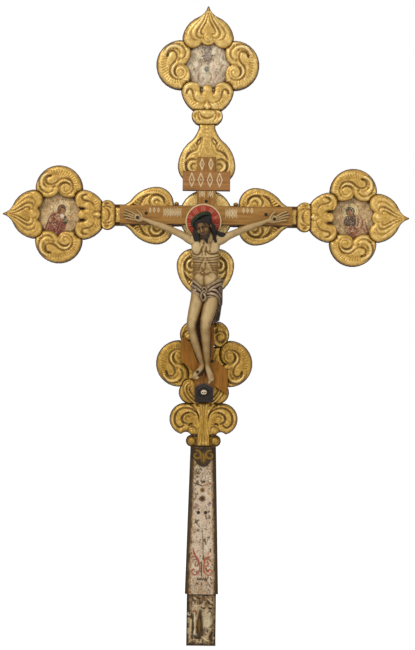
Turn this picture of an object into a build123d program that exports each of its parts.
from build123d import *
import os
from math import acos, ceil, cos, pi, radians, sin

# A carved and gilded processional cross, in millimetres.
#
# Frame: the origin is the centre of the tang's end face, +Z runs up the shaft to the tip,
# +X is to the right of somebody facing the cross and the carved front faces -Y.
# A "depth" is a distance in front of the middle plane of the boards, so it grows towards -Y.
#
# Build: two boards, half-lapped at the crossing, carry every carved and gilded piece on their
# front. A tapered handle takes the upright board's tongue in a mortise. A thin wooden cross of
# halved bars lies over the gilding and carries the carved figure.

# ---------------------------------------------------------------------------------------------
# Overall sizes
# ---------------------------------------------------------------------------------------------
TOP_ICON_RISE = 283.0            # crossing to the centre of the top panel
ARM_ICON_REACH = 276.0           # crossing to the centre of a side panel
ARM_TERMINAL_SCALE = 0.952       # a side terminal against the top one

# Layers, as depths
BOARD_THICKNESS = 16.0
CUSP_RADIUS = 1.5                # least inside radius that a gouge leaves
SHAFT_CARVING_RELIEF = 10.0      # carving behind the thin cross
TERMINAL_CARVING_RELIEF = 12.0
THIN_CROSS_THICKNESS = 10.0
HALO_THICKNESS = 3.0
FIT = 0.3                        # clearance between neighbouring pieces
SLIP = 0.1                       # clearance round a shank or a tongue
BOARD_MARGIN = 1.5               # dark board edge shown round the gilding
GROOVE_DEPTH = 5.0
FLAT_SAG = 0.25                  # carved curves are cut in flats that lie this near the true arc

BOARD_FRONT = BOARD_THICKNESS / 2
BOARD_BACK = -BOARD_THICKNESS / 2
SHAFT_CARVING_FRONT = BOARD_FRONT + SHAFT_CARVING_RELIEF
TERMINAL_CARVING_FRONT = BOARD_FRONT + TERMINAL_CARVING_RELIEF
THIN_CROSS_FRONT = SHAFT_CARVING_FRONT + THIN_CROSS_THICKNESS
HALO_FRONT = THIN_CROSS_FRONT + HALO_THICKNESS

# Boards
UPRIGHT_HALF_WIDTH = 16.0
ARM_HALF_WIDTH = 20.0

# Terminal, from the centre of its panel, +y towards the tip
TIP = 109.5
ONION_HALF_WIDTH = 46.5
ONION_WIDEST = 54.0
ONION_BOTTOM = 31.0
ONION_CUSP = (11.5, 40.5)
BUD_BOTTOM = 36.0
LOBE_RADIUS = 45.5
LOBE_OFFSET = 49.8
LOBE_BULGE = 17.0
LOBE_CUSP = 8.0
PAIR_HALF_WIDTH = 47.5
PAIR_WIDEST = -53.0
PAIR_CUSP_HEIGHT = -49.0
PAIR_FOOT = (27.0, -83.5)
TONGUE_HALF_WIDTH = 9.0
TONGUE_TOP = -37.0
KNOT_HALF_WIDTH = 28.0
KNOT_WIDEST = -95.0
KNOT_FOOT = -111.0
PANEL_RADIUS = 43.0
PANEL_THICKNESS = 3.0

# Drop leaves, from the crossing, +y outwards
DROP_START = 61.0
DROP_WIDEST = 96.0
DROP_HALF_WIDTH = 52.5
NECK_HALF_WIDTH = 14.0
LOWER_DROP_END = 158.0
BOSS_RADIUS = 48.5
BEAD_RADIUS = 4.5
BEAD_REACH = 55.5
BEAD_RISE = 22.0
BEAD_RELIEF = 7.0

# Lower shaft, heights above the tang's end
HANDLE_TOP = 372.0
BALL_RISE = 12.0
BALL_HEIGHT = HANDLE_TOP + BALL_RISE
BALL_OFFSET = 22.0
BALL_RADIUS = 8.5
BALL_DISC_RADIUS = 11.0
BALL_RELIEF = 8.0
STEM_HALF_WIDTH = 6.0
FOOT_SCROLL_RISE = 26.0
FOOT_SCROLL_BOTTOM = HANDLE_TOP + FOOT_SCROLL_RISE
FOOT_SCROLL_HEIGHT = 57.0
FOOT_SCROLL_HALF_WIDTH = 62.5
FOOT_SCROLL_TOP = FOOT_SCROLL_BOTTOM + FOOT_SCROLL_HEIGHT
FOOT_SCROLL_SWELL = 30.0         # its bottom up to its widest
FOOT_SCROLL_WIDEST = FOOT_SCROLL_BOTTOM + FOOT_SCROLL_SWELL
LEAF_HEIGHT = 44.0
LEAF_HALF_WIDTH = 44.0
LEAF_TUCK = 3.0                  # the leaf's foot starts this far down behind the scroll's top
LEAF_FOOT = FOOT_SCROLL_TOP - LEAF_TUCK
LEAF_TOP = LEAF_FOOT + LEAF_HEIGHT
BIG_SCROLL_RADIUS = 42.5
BIG_SCROLL_OFFSET = 46.5
BIG_SCROLL_RISE = 33.0
BIG_SCROLL_HEIGHT = LEAF_TOP + BIG_SCROLL_RISE
SMALL_SCROLL_HALF = (18.0, 23.5)
SMALL_SCROLL_OFFSET = 27.0
SMALL_SCROLL_RISE = 54.5
SMALL_SCROLL_HEIGHT = BIG_SCROLL_HEIGHT + SMALL_SCROLL_RISE
SHAFT_LEAF_HALF = (31.0, 38.0)   # at its ends and at its middle
CROSSING_RISE = 222.5
CROSSING_HEIGHT = SMALL_SCROLL_HEIGHT + CROSSING_RISE

# Handle
HANDLE_TOP_HALF_WIDTH = 24.0
HANDLE_FOOT_HALF_WIDTH = 31.3
HANDLE_THICKNESS = 24.0
HANDLE_CHAMFER = 6.0
TANG_LENGTH = 96.5
TANG_HALF_WIDTH = 27.5
TANG_THICKNESS = 22.0
TONGUE_LENGTH = 150.0            # of the upright board, down into the handle
TENON_HALF_WIDTH = 15.0
TENON_THICKNESS = 8.0
PIN_MARGIN = 28.0                # tongue's end up to the two pins
PIN_OFFSETS = (-7.5, 6.0)

# Thin cross of halved bars
THIN_UPRIGHT_WIDTH = 35.0
THIN_UPRIGHT_RISE = 110.0        # crossing up to its top
THIN_UPRIGHT_TOP = CROSSING_HEIGHT + THIN_UPRIGHT_RISE
THIN_UPRIGHT_LIFT = 5.0          # leaf's foot up to its foot
THIN_UPRIGHT_FOOT = LEAF_FOOT + THIN_UPRIGHT_LIFT
CROSSBAR_LENGTH = 322.0
CROSSBAR_WIDTH = 36.0
TITULUS_LENGTH = 89.0
TITULUS_WIDTH = 37.0
TITULUS_RISE = 64.5
TITULUS_HEIGHT = CROSSING_HEIGHT + TITULUS_RISE
FOOTBOARD_HALF_LENGTH = 44.3
FOOTBOARD_WIDTH = 39.0
FOOTBOARD_SLOPE = 35.5           # degrees down towards +X
FOOTBOARD_DROP = 280.0
FOOTBOARD_HEIGHT = CROSSING_HEIGHT - FOOTBOARD_DROP
HALO_RADIUS = 33.8
HALO_CENTRE = (-4.5, -11.5)       # from the crossing
CAVE_TALL = 37.0
CAVE_GABLE = 8.0
CAVE_APEX = THIN_UPRIGHT_FOOT + CAVE_TALL
CAVE_SHOULDER = CAVE_APEX - CAVE_GABLE
CAVE_RELIEF = 2.0
CAVE_RECESS = 1.5
SKULL_RISE = 19.0
SKULL_HEIGHT = THIN_UPRIGHT_FOOT + SKULL_RISE
SKULL_SIZE = (12.4, 10.3)

# Carved figure: each section is (x, rise, lift, half width, half depth), where the rise is above
# the crossing and the lift is in front of the thin cross
FIGURE_BACK = 3.0
TORSO_SECTIONS = [
    (0, -40, 12, 15, 8), (0, -49, 14, 28, 11), (0, -68, 16.5, 27, 13.5), (0, -88, 15.5, 25, 12.5),
    (0, -109, 13.5, 22, 10.5), (0, -130, 14, 24, 11),
]
WRAP_SECTIONS = [(0, -130, 15, 25.5, 12), (0.5, -144, 17, 29, 14), (0.5, -158, 17, 28, 13.5)]
TAIL_SECTIONS = [(27, -136, 10, 5, 5), (28, -166, 8, 4.5, 4), (25, -200, 7, 4, 3)]
LEG_SECTIONS = {
    "left": [(-12.6, -158, 17, 11.2, 11), (-18.5, -184, 24, 9.6, 10), (-24.8, -208, 29, 8.0, 8.4),
             (-15, -244, 22, 6.8, 7.4), (-3.4, -279, 13, 4.0, 4.6), (-11, -292, 8.5, 6.0, 5.2),
             (-21, -304, 3.5, 4.0, 3.0)],
    "right": [(11.8, -158, 17, 12.0, 11), (6.0, -184, 24, 10.6, 11), (0.6, -213, 30, 8.2, 8.6),
              (3.6, -246, 22, 7.2, 7.5), (5.6, -279, 13, 4.2, 4.6), (8.4, -295, 8.5, 6.5, 5.5),
              (10.5, -312.5, 4.2, 4.5, 3.0)],
}
ARM_JOINT = 27.0                 # the arms are dowelled on at these upright faces
ARM_SECTIONS = [                 # (reach, rise, lift, half height, half depth)
    (ARM_JOINT, -50, 14, 10.5, 9.5), (50, -36, 11.5, 8.4, 8.0), (74, -23.5, 8.5, 6.8, 6.6),
    (96, -15, 6, 4.8, 5.0), (115, -8.5, 3.8, 2.9, 3.2), (128, -5, 3.2, 8.2, 3.0),
    (141, -1, 2.6, 7.0, 2.4), (153, 2.5, 2.0, 3.6, 1.8),
]
HEAD_SECTIONS = [(0, -40, 16, 8, 9), (1.5, -34, 24, 15, 15), (0, -22, 26, 19.5, 20),
                 (-3, -8, 26, 19.5, 20), (-5, 2, 25, 14, 15), (-6, 7, 24, 5, 6)]
CROWN_TILT = 20.0                # degrees that the head leans to -X
CROWN_RADIUS = 19.0
CROWN_THICKNESS = 3.6
CROWN_CENTRE = (-5.0, -5.0, 25.5)
CROWN_SIDES = 16
TRUNK_SIDES = 12
LIMB_SIDES = 8
HAND_NAIL = (128.0, -5.0)        # x and rise
FOOT_NAIL = (-12.4, -292.0)
CROSS_NAILS = [(0.0, 27.0), (-112.0, 3.5), (112.0, 3.5), (15.0, -272.0)]

# Hand-forged nails
SHANK = 2.4
NAIL_HEAD_RADIUS = 3.2
NAIL_HEAD_HEIGHT = 1.6
NAIL_BITE = 6.0


# ---------------------------------------------------------------------------------------------
# Drawing helpers
# ---------------------------------------------------------------------------------------------
def at_depth(depth):
    """Front-facing plane at a depth; its x is +X and its y is +Z."""
    return Plane.XZ.offset(depth)


def plate(face, back, front):
    """Solid from a front-view face, its curves cut in flats, between two depths."""
    return extrude(at_depth(back) * in_flats(face), front - back)


def flats(curve):
    """Ends of the short flats that follow a curve."""
    if curve.geom_type == GeomType.LINE:
        return [curve @ 0, curve @ 1]
    turn = 2 * acos(1 - FLAT_SAG / max(FLAT_SAG, curve.radius))
    count = ceil(curve.length / curve.radius / turn)
    return [curve @ (step / count) for step in range(count + 1)]


def walked(wire):
    """Corners of a closed wire whose curves are cut in flats."""
    runs = [flats(edge) for edge in wire.order_edges()]
    if len(runs) > 1 and min((runs[0][-1] - run).length for run in (runs[1][0], runs[1][-1])) > SLIP:
        runs[0].reverse()
    corners = []
    for run in runs:
        if corners and (run[0] - corners[-1]).length > (run[-1] - corners[-1]).length:
            run.reverse()
        corners += [point for point in run if not corners or (point - corners[-1]).length > SLIP]
    while (corners[-1] - corners[0]).length < SLIP:
        corners.pop()
    return make_face(Polyline(*corners, close=True))


def in_flats(face):
    """Face whose outlines are cut in flats."""
    whole = Sketch()
    for part in face.faces():
        whole += walked(part.outer_wire()) - [walked(hole) for hole in part.inner_wires()]
    return whole


def spans_from(start, spans):
    """Edges from a start point: a span is (end,) for a line or (via, end) for an arc."""
    edges = []
    here = start
    for span in spans:
        edges.append(Line(here, span[0]) if len(span) == 1 else ThreePointArc(here, *span))
        here = span[-1]
    return edges


def outline(start, *spans):
    """Closed face of lines and arcs."""
    return make_face(spans_from(start, spans))


def across(point, via):
    """Edge from a point to its mirror image, bowed through a height on the axis."""
    twin = (-point[0], point[1])
    return Line(point, twin) if via is None else ThreePointArc(point, (0, via), twin)


def symmetric(start, spans, first_bow=None, last_bow=None):
    """Face that is symmetric about x = 0, from the spans of its +x side."""
    right = spans_from(start, spans)
    left = [mirror(edge, about=Plane.YZ) for edge in right]
    closing = []
    if start[0] > 0:
        closing.append(across(start, first_bow))
    if spans[-1][-1][0] > 0:
        closing.append(across(spans[-1][-1], last_bow))
    return make_face(right + left + closing)


def lune(start, outer_via, end, inner_via):
    """Crescent between two arcs that share their ends."""
    return make_face([ThreePointArc(start, outer_via, end), ThreePointArc(end, inner_via, start)])


def grown(face, amount):
    """Face with its outline moved outwards."""
    return offset(face, amount, kind=Kind.ARC)


def flipped(shape):
    """Mirror image about the cross's middle plane."""
    return mirror(shape, about=Plane.YZ)


def write(node, shape):
    """One STEP file per node."""
    shape.label = node
    export_step(shape, f"parts/{node}.step")


# ---------------------------------------------------------------------------------------------
# Outlines, each in its own small frame
# ---------------------------------------------------------------------------------------------
def onion_outline():
    """Ogee leaf that ends a terminal, with two curled lower lobes and a bud between them."""
    width = ONION_HALF_WIDTH
    lobe = ThreePointArc(ONION_CUSP, (0.58 * width, ONION_BOTTOM), (width, ONION_WIDEST))
    shoulder = ThreePointArc(lobe @ 1, (0.80 * width, ONION_WIDEST + 20.5), (0.375 * width, TIP - 20))
    ogee = TangentArc(shoulder @ 1, (0, TIP), tangent=shoulder % 1)
    right = [lobe, shoulder, ogee]
    left = [mirror(edge, about=Plane.YZ) for edge in right]
    return make_face(right + left + [across(ONION_CUSP, BUD_BOTTOM)])


def scroll_outline(radius):
    """C-scroll seen from the front: +y is its round back, -y the two curls and their cusp."""
    shoulder = (0.998 * radius, 0.04 * radius)
    cusp = (0.03 * radius, -LOBE_CUSP)
    return outline(
        (-shoulder[0], shoulder[1]),
        ((0, radius), shoulder),
        ((0.63 * radius, -LOBE_BULGE), cusp),
        ((-0.60 * radius, -LOBE_BULGE), (-shoulder[0], shoulder[1])),
    )


def pair_outline():
    """Two small curls either side of a rounded tongue, at the foot of a terminal."""
    shoulder = (TONGUE_HALF_WIDTH, TONGUE_TOP - 5)
    slot = Vector(TONGUE_HALF_WIDTH, PAIR_CUSP_HEIGHT)
    tongue = Line(shoulder, slot)
    hollow = ThreePointArc(slot, slot + Vector(CUSP_RADIUS, -CUSP_RADIUS), slot + Vector(2 * CUSP_RADIUS, 0))
    curl = TangentArc(hollow @ 1, (PAIR_HALF_WIDTH, PAIR_WIDEST), tangent=(0, 1))
    flank = TangentArc(curl @ 1, PAIR_FOOT, tangent=curl % 1)
    right = [tongue, hollow, curl, flank]
    left = [mirror(edge, about=Plane.YZ) for edge in right]
    return make_face(right + left + [across(shoulder, TONGUE_TOP), across(PAIR_FOOT, None)])


def knot_outline():
    """Collar that binds a terminal to its neck."""
    top = PAIR_FOOT[1] - FIT
    return symmetric(
        (0.8 * KNOT_HALF_WIDTH, top),
        [
            ((KNOT_HALF_WIDTH, KNOT_WIDEST), (0.8 * KNOT_HALF_WIDTH, KNOT_FOOT + 4)),
            ((0.7 * KNOT_HALF_WIDTH, KNOT_FOOT + 1.2), (NECK_HALF_WIDTH, KNOT_FOOT)),
        ],
    )


def drop_side(run, shoulder, waist):
    """Spans of a drop leaf's +x side, down to the waist, over a run from its widest to its end."""
    return [
        ((0.88 * DROP_HALF_WIDTH, 0.63 * DROP_START + 0.37 * DROP_WIDEST), (DROP_HALF_WIDTH, DROP_WIDEST)),
        ((0.86 * DROP_HALF_WIDTH, DROP_WIDEST + shoulder * run),
         (0.5 * DROP_HALF_WIDTH, DROP_WIDEST + waist * run)),
    ]


def necked_drop_outline(neck_end):
    """Drop leaf with the neck that runs on to a terminal's knot."""
    run = neck_end - DROP_WIDEST
    start = (0.5 * DROP_HALF_WIDTH, DROP_START + BOARD_MARGIN)
    neck = [
        ((1.29 * NECK_HALF_WIDTH, DROP_WIDEST + 0.77 * run), (NECK_HALF_WIDTH, DROP_WIDEST + 0.90 * run)),
        ((NECK_HALF_WIDTH, neck_end),),
    ]
    return symmetric(start, drop_side(run, 0.33, 0.61) + neck, first_bow=DROP_START)


def pointed_drop_outline():
    """Drop leaf that runs out to a narrow foot on the shaft."""
    start = (0.5 * DROP_HALF_WIDTH, DROP_START + BOARD_MARGIN)
    foot = ((UPRIGHT_HALF_WIDTH - 2 * BOARD_MARGIN, LOWER_DROP_END),)
    spans = drop_side(LOWER_DROP_END - DROP_WIDEST, 0.40, 0.74) + [foot]
    return symmetric(start, spans, first_bow=DROP_START)


def small_scroll_outline():
    """Upright oval curl."""
    half_width, half_height = SMALL_SCROLL_HALF
    return outline(
        (0, -half_height),
        ((half_width, 0), (0, half_height)),
        ((-half_width, 0), (0, -half_height)),
    )


def stem_outline():
    """Fluted stem that spreads into the handle's top and into the leaves above."""
    return symmetric(
        (STEM_HALF_WIDTH + 4, LEAF_FOOT + 4.5),
        [
            ((STEM_HALF_WIDTH, FOOT_SCROLL_BOTTOM + 34), (STEM_HALF_WIDTH - 2, FOOT_SCROLL_BOTTOM + 16)),
            ((STEM_HALF_WIDTH + 1, FOOT_SCROLL_BOTTOM + 3), (STEM_HALF_WIDTH + 5, FOOT_SCROLL_BOTTOM - 2)),
            ((BALL_OFFSET - 10, HANDLE_TOP + 3),),
        ],
    )


def foot_scroll_outline():
    """Broad curl on the +x side, above the handle."""
    reach = FOOT_SCROLL_HALF_WIDTH
    return outline(
        (STEM_HALF_WIDTH - 2, FOOT_SCROLL_BOTTOM + 14),
        ((0.15 * reach, FOOT_SCROLL_BOTTOM + 42), (0.52 * reach, FOOT_SCROLL_TOP - 1.5)),
        ((reach, FOOT_SCROLL_WIDEST), (0.67 * reach, FOOT_SCROLL_BOTTOM)),
        ((0.50 * reach, FOOT_SCROLL_BOTTOM + 4), (0.36 * reach, FOOT_SCROLL_BOTTOM - 2)),
        ((STEM_HALF_WIDTH + 4, FOOT_SCROLL_BOTTOM - 2),),
        ((STEM_HALF_WIDTH - 2, FOOT_SCROLL_BOTTOM + 14),),
    )


def leaf_outline():
    """Long leaf on the +x side, rising out of the stem."""
    reach = LEAF_HALF_WIDTH
    return outline(
        (STEM_HALF_WIDTH - 1, LEAF_FOOT),
        ((0.68 * reach, LEAF_FOOT + 3),),
        ((0.97 * reach, LEAF_TOP - 32), (0.94 * reach, LEAF_TOP - 8)),
        ((0.55 * reach, LEAF_TOP + 4), (0.28 * reach, LEAF_TOP - 10)),
        ((STEM_HALF_WIDTH - 1, LEAF_FOOT),),
    )


def shaft_leaf_outline():
    """Leaf between the big scrolls, behind the thin cross."""
    top = SMALL_SCROLL_HEIGHT - SMALL_SCROLL_HALF[1] - FIT
    end, middle = SHAFT_LEAF_HALF
    foot = LEAF_TOP + 2 * FIT
    return symmetric((end, top), [((middle, BIG_SCROLL_HEIGHT),), ((end, foot),)])


def pentagon_outline(half_width, foot, shoulder, apex):
    """Gabled block."""
    return make_face(
        Polyline(
            (-half_width, foot),
            (half_width, foot),
            (half_width, shoulder),
            (0, apex),
            (-half_width, shoulder),
            close=True,
        )
    )


def footboard_outline():
    """Slanting bar with upright ends."""
    reach = FOOTBOARD_HALF_LENGTH
    drop = reach * sin(radians(FOOTBOARD_SLOPE)) / cos(radians(FOOTBOARD_SLOPE))
    half_cut = FOOTBOARD_WIDTH / cos(radians(FOOTBOARD_SLOPE)) / 2
    corners = [(-reach, drop + half_cut), (reach, -drop + half_cut),
               (reach, -drop - half_cut), (-reach, drop - half_cut)]
    return Pos(0, FOOTBOARD_HEIGHT) * make_face(Polyline(*corners, close=True))


# ---------------------------------------------------------------------------------------------
# Placing
# ---------------------------------------------------------------------------------------------
CROSSING = Pos(0, CROSSING_HEIGHT)
BIG_SCROLL_PLACE = Pos(BIG_SCROLL_OFFSET, BIG_SCROLL_HEIGHT) * Rot(0, 0, -90)
HEADINGS = {"top": 0, "left": 90, "right": -90}      # turn from +Z, degrees


def arm_scale(side):
    """Scale of one terminal."""
    return 1.0 if side == "top" else ARM_TERMINAL_SCALE


def icon_reach(side):
    """Distance from the crossing to a panel's centre."""
    return TOP_ICON_RISE if side == "top" else ARM_ICON_REACH


def on_terminal(side, face):
    """Terminal face, scaled and moved to its arm."""
    placed = CROSSING * Rot(0, 0, HEADINGS[side]) * Pos(0, icon_reach(side))
    return placed * scale(face, by=arm_scale(side))


def on_arm(side, face):
    """Face drawn from the crossing, turned to its arm."""
    return CROSSING * Rot(0, 0, HEADINGS[side]) * face


def neck_end(side):
    """Where a neck meets its knot, from the crossing."""
    return icon_reach(side) + arm_scale(side) * KNOT_FOOT - FIT


# ---------------------------------------------------------------------------------------------
# Terminals
# ---------------------------------------------------------------------------------------------
def scroll_on_terminal():
    """Left-hand side scroll in a terminal's frame."""
    return Pos(-LOBE_OFFSET, 0) * Rot(0, 0, 90) * scroll_outline(LOBE_RADIUS)


def scroll_grooves(radius):
    """Dark hollows that part a scroll's back from its volute and its hooked leaf."""
    volute_gap = lune(
        (0.10 * radius, -0.02 * radius),
        (-0.20 * radius, 0.45 * radius),
        (-0.60 * radius, -0.10 * radius),
        (-0.24 * radius, 0.24 * radius),
    )
    leaf_gap = lune(
        (0.16 * radius, 0.22 * radius),
        (0.50 * radius, 0.56 * radius),
        (0.66 * radius, 0.0),
        (0.47 * radius, 0.42 * radius),
    )
    return volute_gap + leaf_gap


def onion_grooves():
    """Hollows either side of the central bud."""
    width, low = ONION_HALF_WIDTH, ONION_BOTTOM
    tall = TIP - ONION_BOTTOM
    hollow = lune((0.04 * width, low + 0.73 * tall), (0.45 * width, low + 0.37 * tall),
                  (0.28 * width, low + 0.19 * tall), (0.30 * width, low + 0.41 * tall))
    return hollow + flipped(hollow)


def pair_grooves():
    """Hollow under each small curl."""
    width, high = PAIR_HALF_WIDTH, PAIR_CUSP_HEIGHT
    hollow = lune((0.33 * width, high - 9), (0.53 * width, high + 9),
                  (0.84 * width, high - 3), (0.56 * width, high + 2))
    return hollow + flipped(hollow)


def drop_grooves():
    """Hollow round each inner curl of a drop leaf."""
    hollow = lune((12, DROP_START + 20), (0.70 * DROP_HALF_WIDTH, DROP_WIDEST - 2), (9, DROP_WIDEST + 26),
                  (0.50 * DROP_HALF_WIDTH, DROP_WIDEST))
    return hollow + flipped(hollow)


def foot_scroll_grooves():
    """Hollow inside a foot scroll."""
    reach = FOOT_SCROLL_HALF_WIDTH
    return lune((0.42 * reach, FOOT_SCROLL_WIDEST + 13), (0.84 * reach, FOOT_SCROLL_WIDEST - 4),
                (0.50 * reach, FOOT_SCROLL_WIDEST - 19), (0.68 * reach, FOOT_SCROLL_WIDEST - 4))


def small_scroll_grooves():
    """Hollow inside a small scroll."""
    x, z = SMALL_SCROLL_OFFSET, SMALL_SCROLL_HEIGHT
    return lune((x - 4, z + 10), (x + 9, z - 3), (x - 4, z - 14), (x + 3, z - 3))


def leaf_grooves():
    """Hollow between a long leaf's two ribs."""
    reach = LEAF_HALF_WIDTH
    return lune((0.30 * reach, LEAF_FOOT + 10), (0.80 * reach, LEAF_TOP - 16), (0.52 * reach, LEAF_TOP - 6),
                (0.58 * reach, LEAF_TOP - 22))


def carved(face, grooves, front):
    """Carved piece on the board's face, with its hollows cut in."""
    body = plate(face, BOARD_FRONT, front)
    for hollow in grooves.faces():
        body -= plate(hollow, front - GROOVE_DEPTH, front)
    return body


def terminal_outlines():
    """Faces of a terminal's carved pieces, each cut clear of its neighbours."""
    onion = onion_outline()
    pair = pair_outline()
    scroll = scroll_on_terminal() - grown(onion, FIT) - grown(pair, FIT)
    return {"onion_leaf": onion, "scroll_low": scroll, "scroll_high": flipped(scroll),
            "curl_pair": pair, "knot": knot_outline()}


def make_terminal(side):
    """Write one terminal's carved pieces and its painted panel."""
    left_grooves = Pos(-LOBE_OFFSET, 0) * Rot(0, 0, 90) * scroll_grooves(LOBE_RADIUS)
    grooves = {"onion_leaf": onion_grooves(), "scroll_low": left_grooves,
               "scroll_high": flipped(left_grooves), "curl_pair": pair_grooves()}
    seat = plate(grown(crossbar_outline(), SLIP), SHAFT_CARVING_FRONT, TERMINAL_CARVING_FRONT)
    for name, face in terminal_outlines().items():
        hollows = on_terminal(side, grooves[name]) if name in grooves else Sketch()
        body = carved(on_terminal(side, face), hollows, TERMINAL_CARVING_FRONT)
        write(f"{side}_{name}", body - seat if name == "knot" else body)
    panel = on_terminal(side, Circle(PANEL_RADIUS - FIT))
    write(f"{side}_icon_panel", plate(panel, BOARD_FRONT - PANEL_THICKNESS, BOARD_FRONT))


# ---------------------------------------------------------------------------------------------
# Shaft and arms
# ---------------------------------------------------------------------------------------------
def shaft_faces():
    """Faces of the carved pieces below the crossing, each cut clear of its neighbours."""
    stem = stem_outline()
    foot = foot_scroll_outline() - grown(stem, FIT)
    leaf = leaf_outline() - grown(stem, FIT) - grown(foot_scroll_outline(), FIT)
    big = BIG_SCROLL_PLACE * scroll_outline(BIG_SCROLL_RADIUS)
    big -= grown(leaf_outline(), FIT)
    small = Pos(SMALL_SCROLL_OFFSET, SMALL_SCROLL_HEIGHT) * small_scroll_outline()
    small -= grown(big, FIT)
    centre = shaft_leaf_outline() - grown(big, FIT) - grown(flipped(big), FIT)
    centre -= grown(leaf_outline(), FIT) + grown(flipped(leaf_outline()), FIT)
    return {"fluted_stem": stem, "foot_scroll": foot, "long_leaf": leaf,
            "big_scroll": big, "small_scroll": small, "shaft_leaf": centre}


def board_backing(faces):
    """Union of faces, grown by the dark margin."""
    whole = Sketch()
    for face in faces:
        whole += grown(face, BOARD_MARGIN)
    return whole


def make_shaft():
    """Write the carved pieces below the crossing."""
    faces = shaft_faces()
    grooves = {
        "big_scroll": BIG_SCROLL_PLACE * scroll_grooves(BIG_SCROLL_RADIUS),
        "foot_scroll": foot_scroll_grooves(),
        "long_leaf": leaf_grooves(),
        "small_scroll": small_scroll_grooves(),
    }
    for name, face in faces.items():
        body = carved(face, grooves.get(name, Sketch()), SHAFT_CARVING_FRONT) - cross_nail_shanks()
        if name in ("fluted_stem", "shaft_leaf"):
            write(name, body)
        else:
            write(f"right_{name}", body)
            write(f"left_{name}", flipped(body))


def make_arms_and_crossing():
    """Write the four drop leaves, the boss and the beads beside it."""
    nails = cross_nail_shanks()
    for side in HEADINGS:
        face = on_arm(side, necked_drop_outline(neck_end(side)))
        body = carved(face, on_arm(side, drop_grooves()), SHAFT_CARVING_FRONT)
        write(f"{side}_drop_leaf", body - nails)
    lower = CROSSING * Rot(0, 0, 180) * pointed_drop_outline()
    write("lower_drop_leaf", carved(lower, CROSSING * Rot(0, 0, 180) * drop_grooves(), SHAFT_CARVING_FRONT))
    boss = plate(CROSSING * Circle(BOSS_RADIUS), BOARD_FRONT, SHAFT_CARVING_FRONT)
    write("centre_boss", boss - nails)
    beads = [Pos(side * BEAD_REACH, BEAD_RISE) for side in (-1, 1)]
    faces = [CROSSING * place * Circle(BEAD_RADIUS) for place in beads]
    write("arm_beads", Compound([plate(face, BOARD_FRONT, BOARD_FRONT + BEAD_RELIEF) for face in faces]))


def make_foot_balls():
    """Write the two balls above the handle."""
    faces = [Pos(side * BALL_OFFSET, BALL_HEIGHT) * Circle(BALL_RADIUS) for side in (-1, 1)]
    clear = grown(stem_outline(), FIT)
    balls = [plate(face - clear, BOARD_FRONT, BOARD_FRONT + BALL_RELIEF) for face in faces]
    write("foot_balls", Compound(balls))


# ---------------------------------------------------------------------------------------------
# Boards and handle
# ---------------------------------------------------------------------------------------------
def bar(half_width, low, high):
    """Upright rectangle about x = 0, between two heights."""
    return Pos(0, (low + high) / 2) * Rectangle(2 * half_width, high - low)


def terminal_backing(side):
    """Board outline behind one terminal and its neck."""
    pieces = [onion_outline(), scroll_on_terminal(), flipped(scroll_on_terminal()),
              pair_outline(), knot_outline()]
    heart = Circle(PANEL_RADIUS + BOARD_MARGIN)
    return on_terminal(side, board_backing(pieces) + heart) + on_arm(
        side, grown(necked_drop_outline(neck_end(side)), BOARD_MARGIN))


def make_upright_board():
    """Write the upright board: its tongue runs down into the handle."""
    faces = shaft_faces()
    sides = [faces[name] for name in ("foot_scroll", "long_leaf", "big_scroll", "small_scroll")]
    blank = bar(UPRIGHT_HALF_WIDTH, HANDLE_TOP, CROSSING_HEIGHT + DROP_START)
    blank += terminal_backing("top") + board_backing(sides) + board_backing([flipped(f) for f in sides])
    blank += board_backing([CROSSING * Rot(0, 0, 180) * pointed_drop_outline(), faces["shaft_leaf"]])
    blank += CROSSING * Circle(BOSS_RADIUS + BOARD_MARGIN)
    blank += bar(HANDLE_TOP_HALF_WIDTH, HANDLE_TOP, BALL_HEIGHT)
    for side in (-1, 1):
        blank += Pos(side * BALL_OFFSET, BALL_HEIGHT) * Circle(BALL_DISC_RADIUS)
    board = plate(blank, BOARD_BACK, BOARD_FRONT)
    board -= plate(CROSSING * Rectangle(4 * BOSS_RADIUS, 2 * (ARM_HALF_WIDTH + SLIP)), 0, BOARD_FRONT)
    board -= panel_recess("top")
    board += plate(bar(TENON_HALF_WIDTH, HANDLE_TOP - TONGUE_LENGTH, HANDLE_TOP + 1),
                   -TENON_THICKNESS / 2, TENON_THICKNESS / 2)
    write("upright_board", board - pin_shanks())


def panel_recess(side):
    """Shallow seat for a painted panel."""
    seat = on_terminal(side, Circle(PANEL_RADIUS))
    return plate(seat, BOARD_FRONT - PANEL_THICKNESS, BOARD_FRONT)


def make_arm_board():
    """Write the arm board, halved over the upright at the crossing."""
    blank = CROSSING * Rectangle(2 * (ARM_ICON_REACH - PANEL_RADIUS), 2 * ARM_HALF_WIDTH)
    blank += terminal_backing("left") + terminal_backing("right")
    board = plate(blank, BOARD_BACK, BOARD_FRONT)
    hub = CROSSING * Rectangle(2 * (BOSS_RADIUS + BOARD_MARGIN + SLIP), 4 * ARM_HALF_WIDTH)
    board -= plate(hub, BOARD_BACK, 0)
    board -= panel_recess("left") + panel_recess("right")
    write("arm_board", board)


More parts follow.
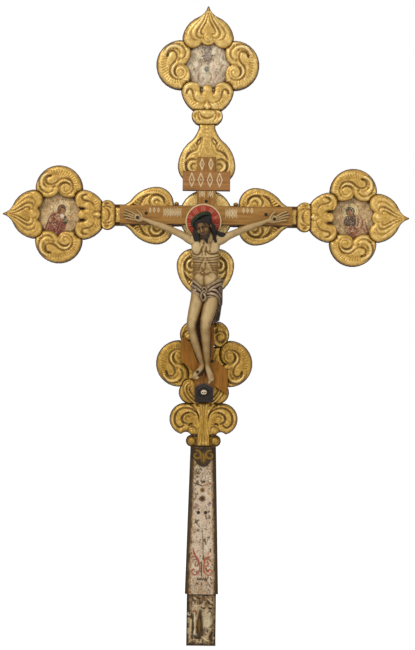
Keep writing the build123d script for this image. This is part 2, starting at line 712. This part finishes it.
def make_handle():
    """Write the tapered handle with its tang and the mortise for the board's tongue."""
    grip = symmetric((HANDLE_FOOT_HALF_WIDTH, TANG_LENGTH), [((HANDLE_TOP_HALF_WIDTH, HANDLE_TOP),)])
    half = HANDLE_THICKNESS / 2
    handle = plate(grip, -half, half)
    flanks = handle.edges().filter_by(lambda edge: edge.length > HANDLE_TOP - TANG_LENGTH - SLIP)
    handle = chamfer(flanks.sort_by(Axis.Y)[:2], HANDLE_CHAMFER)
    handle += plate(bar(TANG_HALF_WIDTH, 0, TANG_LENGTH), -TANG_THICKNESS / 2, TANG_THICKNESS / 2)
    mortise = bar(TENON_HALF_WIDTH + SLIP, HANDLE_TOP - TONGUE_LENGTH - 1, HANDLE_TOP)
    handle -= plate(mortise, -TENON_THICKNESS / 2 - SLIP, TENON_THICKNESS / 2 + SLIP)
    write("handle_shaft", handle - pin_shanks())


# ---------------------------------------------------------------------------------------------
# Thin cross
# ---------------------------------------------------------------------------------------------
def crossbar_outline():
    """Long bar of the thin cross."""
    return CROSSING * Rectangle(CROSSBAR_LENGTH, CROSSBAR_WIDTH)


def titulus_outline():
    """Short upper bar."""
    return Pos(0, TITULUS_HEIGHT) * Rectangle(TITULUS_LENGTH, TITULUS_WIDTH)


def make_thin_cross():
    """Write the four halved bars."""
    middle = SHAFT_CARVING_FRONT + THIN_CROSS_THICKNESS / 2
    holes = cross_nail_shanks() + figure_nail_shanks()
    upright_face = bar(THIN_UPRIGHT_WIDTH / 2, THIN_UPRIGHT_FOOT, THIN_UPRIGHT_TOP)
    bars = {"thin_crossbar": crossbar_outline(), "titulus_bar": titulus_outline(),
            "footboard": footboard_outline()}
    upright = plate(upright_face, SHAFT_CARVING_FRONT, THIN_CROSS_FRONT)
    for name, face in bars.items():
        solid = plate(face, SHAFT_CARVING_FRONT, THIN_CROSS_FRONT)
        solid -= plate(grown(upright_face, SLIP), SHAFT_CARVING_FRONT, middle)
        upright -= plate(grown(face, SLIP), middle, THIN_CROSS_FRONT)
        write(name, solid - holes)
    write("thin_upright", upright - holes)


def make_cave_and_skull():
    """Write the gabled block at the thin cross's foot and the skull in its hollow."""
    half = THIN_UPRIGHT_WIDTH / 2
    cave_front = THIN_CROSS_FRONT + CAVE_RELIEF
    block = plate(pentagon_outline(half, THIN_UPRIGHT_FOOT, CAVE_SHOULDER, CAVE_APEX),
                  THIN_CROSS_FRONT, cave_front)
    hollow = pentagon_outline(0.55 * half, SKULL_HEIGHT - 9, SKULL_HEIGHT + 6, SKULL_HEIGHT + 11)
    floor = cave_front - CAVE_RECESS
    write("golgotha_block", block - plate(hollow, floor, cave_front))
    wide, tall = SKULL_SIZE[0] / 2, SKULL_SIZE[1] / 2
    skull = symmetric((0, tall), [((wide, 0.2 * tall), (0.5 * wide, -tall))])
    write("skull", plate(Pos(0, SKULL_HEIGHT) * skull, floor, cave_front + 1))


def make_halo():
    """Write the painted disc behind the head."""
    write("halo", plate(CROSSING * Pos(*HALO_CENTRE) * Circle(HALO_RADIUS), THIN_CROSS_FRONT, HALO_FRONT))


# ---------------------------------------------------------------------------------------------
# Carved figure
# ---------------------------------------------------------------------------------------------
def figure_point(x, rise, lift):
    """Point of the figure in the cross's frame."""
    return Vector(x, -(THIN_CROSS_FRONT + lift), CROSSING_HEIGHT + rise)


def ring(centre, across_axis, deep_axis, half_width, half_depth, sides):
    """Corners of one oval section."""
    turns = [2 * pi * (corner + 0.5) / sides for corner in range(sides)]
    return [centre + across_axis * (half_width * cos(turn)) + deep_axis * (half_depth * sin(turn))
            for turn in turns]


def skin(rings, closed=False):
    """Solid in knife-cut flats through rings with the same number of corners."""
    triangles = [] if closed else [rings[0], rings[-1]]
    pairs = list(zip(rings, rings[1:])) + ([(rings[-1], rings[0])] if closed else [])
    for low, high in pairs:
        for corner in range(len(low)):
            other = (corner + 1) % len(low)
            triangles.append([low[corner], low[other], high[other]])
            triangles.append([low[corner], high[other], high[corner]])
    return Solid(Shell([Face(Wire.make_polygon(corners)) for corners in triangles]))


def standing(sections, sides):
    """Trunk, limb or cloth through level sections."""
    forwards = Vector(0, -1, 0)
    return skin([ring(figure_point(x, rise, lift), Vector(1, 0, 0), forwards, half_width, half_depth, sides)
                 for x, rise, lift, half_width, half_depth in sections])


def reaching(sections, sides):
    """Arm through upright sections that lie square to X."""
    forwards = Vector(0, -1, 0)
    return skin([ring(figure_point(x, rise, lift), Vector(0, 0, 1), forwards, half_height, half_depth, sides)
                 for x, rise, lift, half_height, half_depth in sections])


def halo_room():
    """Space that the halo takes out of the figure's back."""
    face = CROSSING * Pos(*HALO_CENTRE) * Circle(HALO_RADIUS + FIT)
    return plate(face, THIN_CROSS_FRONT, HALO_FRONT)


def arm_joint_block(side):
    """Everything beyond one arm's joint face."""
    block = Box(ARM_JOINT, 4 * ARM_JOINT, 4 * ARM_JOINT)
    centre = figure_point(side * 1.5 * ARM_JOINT, -ARM_JOINT, FIGURE_BACK)
    return Pos(*centre) * block


def crown_ring(thickness):
    """Ring laid on the brow, tilted with the head."""
    place = Pos(*figure_point(*CROWN_CENTRE)) * Rot(14, -CROWN_TILT, 0)
    upwards = Vector(0, 0, 1)
    rings = []
    for step in range(CROWN_SIDES):
        turn = 2 * pi * step / CROWN_SIDES
        outwards = Vector(cos(turn), sin(turn), 0)
        centre = outwards * CROWN_RADIUS
        rings.append(ring(centre, outwards, upwards, thickness, thickness, LIMB_SIDES))
    return place * skin(rings, closed=True)


def make_figure():
    """Write the figure: trunk, head, crown, arms, cloth and legs."""
    torso = standing(TORSO_SECTIONS, TRUNK_SIDES)
    write("corpus_torso", torso - arm_joint_block(-1) - arm_joint_block(1) - halo_room())
    head = standing(HEAD_SECTIONS, TRUNK_SIDES) - halo_room()
    write("corpus_head", head - crown_ring(CROWN_THICKNESS / 2 + SLIP))
    write("crown_of_thorns", crown_ring(CROWN_THICKNESS / 2) - halo_room())
    write("loincloth", standing(WRAP_SECTIONS, TRUNK_SIDES) + standing(TAIL_SECTIONS, LIMB_SIDES))
    holes = figure_nail_shanks()
    for name, sections in LEG_SECTIONS.items():
        write(f"corpus_{name}_leg", standing(sections, LIMB_SIDES) - holes)
    arm = reaching(ARM_SECTIONS, LIMB_SIDES)
    write("corpus_right_arm", arm - holes)
    write("corpus_left_arm", flipped(arm) - holes)


# ---------------------------------------------------------------------------------------------
# Nails and pins
# ---------------------------------------------------------------------------------------------
def square_shank(x, height, tip_depth, head_depth, clearance):
    """Square shank between two depths."""
    width = SHANK + 2 * clearance
    return plate(Pos(x, height) * Rectangle(width, width), tip_depth, head_depth)


def forged_nail(x, height, tip_depth, head_depth):
    """Square-shanked nail with an eight-sided rose head."""
    rose = Pos(x, height) * RegularPolygon(NAIL_HEAD_RADIUS, 8)
    head = plate(rose, head_depth, head_depth + NAIL_HEAD_HEIGHT)
    head = chamfer(head.faces().sort_by(Axis.Y)[0].edges(), NAIL_HEAD_HEIGHT / 2)
    return square_shank(x, height, tip_depth, head_depth, 0) + head


def cross_nail_places():
    """Nails that hold the thin cross: x and height."""
    return [(x, CROSSING_HEIGHT + rise) for x, rise in CROSS_NAILS]


def cross_nail_shanks():
    """Holes for those nails, through the thin cross and into the gilded pieces."""
    tip = SHAFT_CARVING_FRONT - NAIL_BITE - SLIP
    return [square_shank(x, z, tip, THIN_CROSS_FRONT, SLIP) for x, z in cross_nail_places()]


def figure_nail_places():
    """Nails through the hands and the crossed foot: x, height and the flesh's front depth."""
    x, rise = HAND_NAIL
    palm = THIN_CROSS_FRONT + 6.8
    instep = THIN_CROSS_FRONT + 15.4
    return [(-x, CROSSING_HEIGHT + rise, palm), (x, CROSSING_HEIGHT + rise, palm),
            (FOOT_NAIL[0], CROSSING_HEIGHT + FOOT_NAIL[1], instep)]


def figure_nail_shanks():
    """Holes for those nails, through the flesh and into the thin cross."""
    tip = THIN_CROSS_FRONT - NAIL_BITE - SLIP
    return [square_shank(x, z, tip, front + 5, SLIP) for x, z, front in figure_nail_places()]


def pin_places():
    """Pins through the handle and the board's tongue."""
    return [(x, HANDLE_TOP - TONGUE_LENGTH + PIN_MARGIN) for x in PIN_OFFSETS]


def pin_shanks():
    """Holes for the pins, from the handle's front into its back cheek."""
    half = HANDLE_THICKNESS / 2
    return [square_shank(x, z, -half + NAIL_BITE / 2, half, SLIP) for x, z in pin_places()]


def make_nails():
    """Write the nails and pins, each kind as one group."""
    tip = SHAFT_CARVING_FRONT - NAIL_BITE
    cross = [forged_nail(x, z, tip, THIN_CROSS_FRONT) for x, z in cross_nail_places()]
    write("cross_nails", Compound(cross))
    tip = THIN_CROSS_FRONT - NAIL_BITE
    hands_and_foot = [forged_nail(x, z, tip, front) for x, z, front in figure_nail_places()]
    write("hand_nails", Compound(hands_and_foot[:2]))
    write("foot_nail", hands_and_foot[2])
    half = HANDLE_THICKNESS / 2
    pins = [forged_nail(x, z, -half + NAIL_BITE / 2 + SLIP, half) for x, z in pin_places()]
    write("handle_pins", Compound(pins))


def main():
    """Build every node."""
    os.makedirs("parts", exist_ok=True)
    make_upright_board()
    make_arm_board()
    make_handle()
    for side in HEADINGS:
        make_terminal(side)
    make_arms_and_crossing()
    make_shaft()
    make_foot_balls()
    make_thin_cross()
    make_cave_and_skull()
    make_halo()
    make_figure()
    make_nails()


main()
